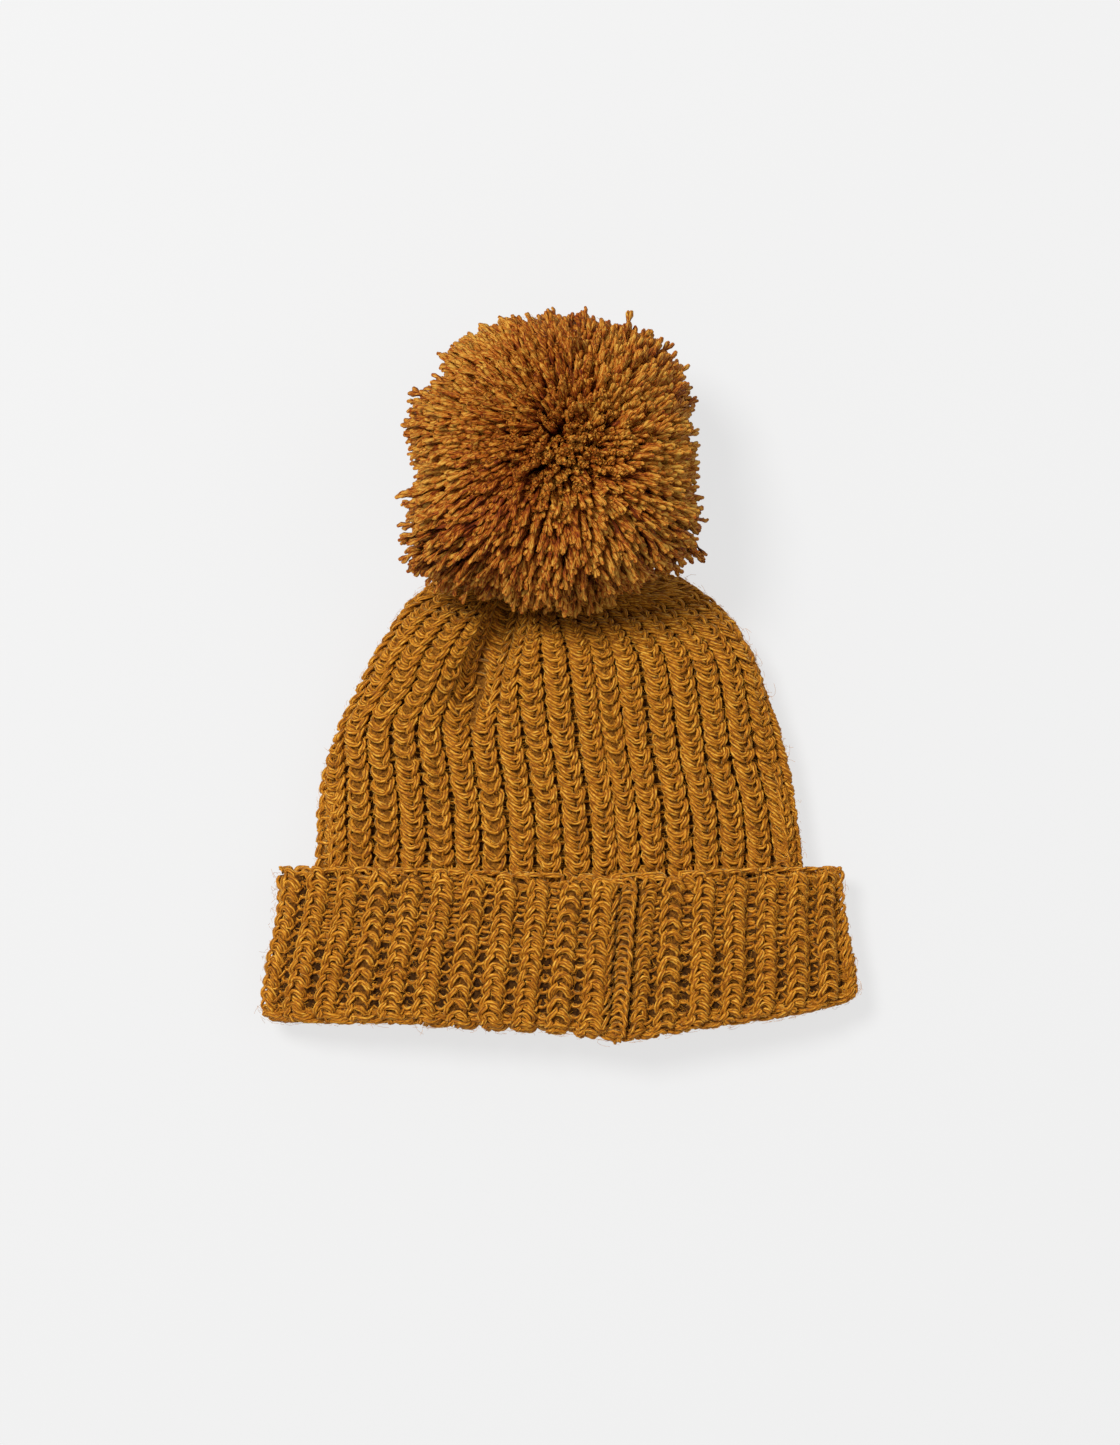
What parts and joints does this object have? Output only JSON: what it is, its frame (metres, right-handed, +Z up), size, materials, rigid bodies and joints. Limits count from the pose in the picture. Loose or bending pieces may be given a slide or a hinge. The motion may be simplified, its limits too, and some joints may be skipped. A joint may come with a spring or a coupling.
{
  "type": "knit beanie with pompom",
  "caption": "Chunky rib-knit beanie lying flat, with a turned-up brim, gathered crown, back seam and a yarn pompom tied on to swing.",
  "frame": {"origin": "centre of the footprint of the flat-lying hat, on the table", "axes": "+Z up from the table, +Y from the brim towards the pompom, +X to the right of the hat as seen from above with the pompom away"},
  "size_m": [0.1968, 0.2394, 0.0921],
  "materials": {
    "knit_face": "matte mustard two-ply yarn, half-cardigan rib",
    "knit_reverse": "matte mustard two-ply yarn, reverse side of the rib",
    "yarn": "matte mustard two-ply yarn",
    "tuft": "cut ends of mustard two-ply yarn"
  },
  "bodies": {
    "hat": {"crown_body": "knit_face", "body_seam_yarn": "yarn", "crown_gather_yarn": "yarn"},
    "cuff": {"turned_up_cuff": "knit_reverse", "cuff_seam_yarn": "yarn", "cast_on_edge": "yarn"},
    "tie_knot": {"pompom_anchor_knot": "yarn"},
    "tie_cord": {"pompom_anchor_yarn": "yarn", "pompom_binding": "yarn"},
    "pompom": {"pompom": "tuft"}
  },
  "joints": [
    {"name": "cuff_turn_down", "type": "slide", "parent": "hat", "child": "cuff", "axis": [0, -1, 0], "range_m": [0, 0.04]},
    {"name": "pompom_swing", "type": "hinge", "parent": "hat", "child": "tie_knot", "pos_m": [-0.0021, 0.03319, 0.01551], "axis": [0, 0, 1], "range_deg": [-25, 25]},
    {"name": "pompom_lift", "type": "hinge", "parent": "tie_knot", "child": "tie_cord", "pos_m": [-0.0021, 0.03319, 0.01551], "axis": [1, 0, 0], "range_deg": [0, 30]},
    {"name": "pompom_twist", "type": "hinge", "parent": "tie_cord", "child": "pompom", "pos_m": [-0.0021, 0.03319, 0.01551], "axis": [0, 0.7986, 0.6018], "range_deg": [-60, 60]}
  ]
}
